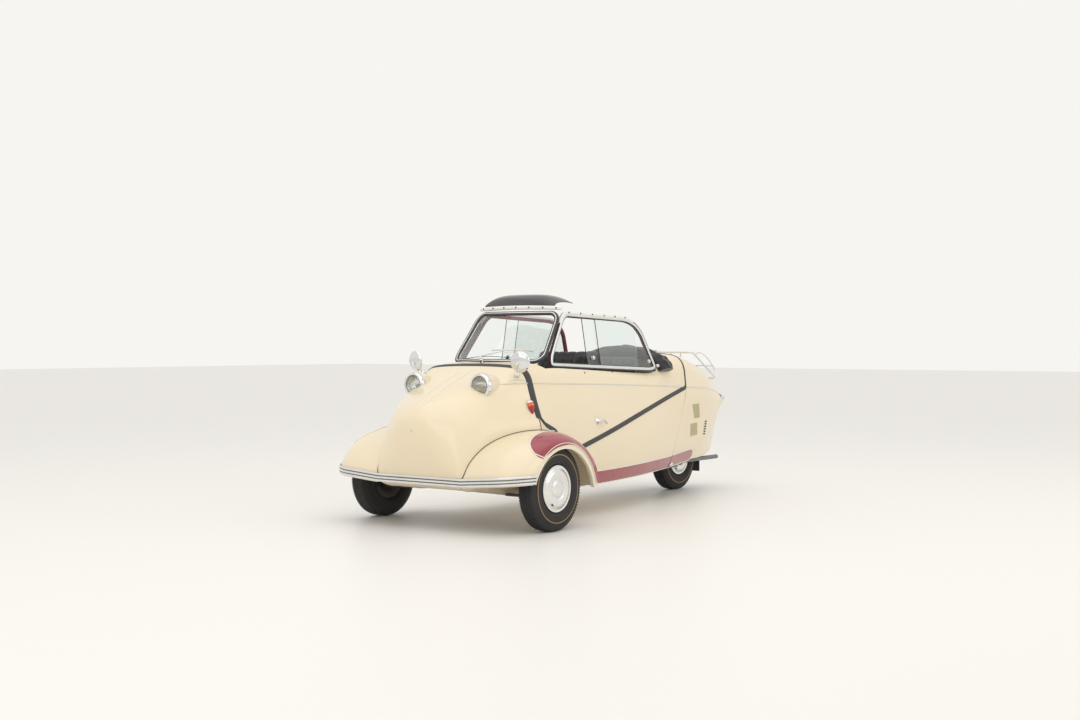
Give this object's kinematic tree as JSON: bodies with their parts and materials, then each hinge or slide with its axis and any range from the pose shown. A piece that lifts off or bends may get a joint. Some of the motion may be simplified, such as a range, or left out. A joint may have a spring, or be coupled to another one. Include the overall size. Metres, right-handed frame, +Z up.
{
  "type": "three-wheeled bubble car",
  "caption": "Small tandem bubble car with front fenders, a side-hinged canopy with open folding roof, a lifting tail cover, handlebar steering and a luggage rack.",
  "frame": {"origin": "on the ground under the middle of the car's box", "axes": "+X to the car's left, +Y to its rear, +Z up"},
  "size_m": [1.2184, 2.82, 1.1515],
  "materials": {
    "ivory_paint": "gloss",
    "crimson_paint": "gloss",
    "bright_trim": "polished",
    "black_rubber": "satin",
    "tyre_rubber": "matte",
    "chassis_steel": "satin",
    "castings": "satin",
    "clear_glass": "gloss",
    "lamp_glass": "gloss",
    "amber_plastic": "gloss",
    "red_plastic": "gloss",
    "smoked_plastic": "gloss",
    "olive_mesh": "satin",
    "black_vinyl": "satin",
    "roof_cloth": "matte"
  },
  "bodies": {
    "body": {"nose_shell": "ivory_paint", "side_panels": "ivory_paint", "floor_pan": "ivory_paint", "front_fenders": "ivory_paint", "bumper_trim": "bright_trim", "sill_bands": "crimson_paint", "headlight_pods": "ivory_paint", "headlight_lenses": "lamp_glass", "indicators": "amber_plastic", "mirrors": "bright_trim", "dashboard": "ivory_paint", "steering_column": "chassis_steel", "front_seat": "black_vinyl", "rear_seat": "black_vinyl", "engine": "castings", "rear_swing_arm": "chassis_steel", "front_suspension": "chassis_steel", "exhaust_pipe": "chassis_steel", "mud_flap": "black_rubber", "hinge_brackets": "bright_trim"},
    "left_steer": {"left_knuckle": "chassis_steel"},
    "right_steer": {"right_knuckle": "chassis_steel"},
    "steering_bar": {"handlebar": "black_rubber"},
    "front_left_road_wheel": {"front_left_tyre": "tyre_rubber", "front_left_wheel": "bright_trim"},
    "front_right_road_wheel": {"front_right_tyre": "tyre_rubber", "front_right_wheel": "bright_trim"},
    "rear_road_wheel": {"rear_tyre": "tyre_rubber", "rear_wheel": "bright_trim"},
    "canopy": {"canopy_shell": "ivory_paint", "canopy_seals": "black_rubber", "canopy_hinge_leaves": "bright_trim", "windscreen": "clear_glass", "windscreen_seal": "black_rubber", "header_rail": "ivory_paint", "side_window_frames": "bright_trim", "window_panes": "clear_glass", "sun_visor": "smoked_plastic", "folded_roof": "roof_cloth", "wiper": "bright_trim", "door_handle": "bright_trim"},
    "tail_cover": {"tail_shell": "ivory_paint", "tail_hinge_leaves": "bright_trim", "tail_lamps": "red_plastic", "luggage_rack": "bright_trim"}
  },
  "joints": [
    {"name": "canopy_hinge", "type": "hinge", "parent": "body", "child": "canopy", "pos_m": [-0.356, -0.2, 0.722], "axis": [0, -1, 0], "range_deg": [0, 75]},
    {"name": "tail_hinge", "type": "hinge", "parent": "body", "child": "tail_cover", "pos_m": [0, 0.676, 0.852], "axis": [1, 0, 0], "range_deg": [0, 55]},
    {"name": "left_steer", "type": "hinge", "parent": "body", "child": "left_steer", "pos_m": [0.463, -1.02, 0.205], "axis": [0, 0, 1], "range_deg": [-28, 28]},
    {"name": "right_steer", "type": "hinge", "parent": "body", "child": "right_steer", "pos_m": [-0.463, -1.02, 0.205], "axis": [0, 0, 1], "range_deg": [-28, 28]},
    {"name": "handlebar_turn", "type": "hinge", "parent": "body", "child": "steering_bar", "pos_m": [0, -0.65, 0.745], "axis": [0, 0.4226, 0.9063], "range_deg": [-28, 28]},
    {"name": "front_left_spin", "type": "hinge", "parent": "left_steer", "child": "front_left_road_wheel", "pos_m": [0.535, -1.02, 0.205], "axis": [1, 0, 0], "continuous": true},
    {"name": "front_right_spin", "type": "hinge", "parent": "right_steer", "child": "front_right_road_wheel", "pos_m": [-0.535, -1.02, 0.205], "axis": [1, 0, 0], "continuous": true},
    {"name": "rear_spin", "type": "hinge", "parent": "body", "child": "rear_road_wheel", "pos_m": [0, 1.01, 0.205], "axis": [1, 0, 0], "continuous": true}
  ],
  "couplings": [
    {"joint": "right_steer", "follows": "left_steer", "ratio": 1},
    {"joint": "handlebar_turn", "follows": "left_steer", "ratio": 1}
  ]
}
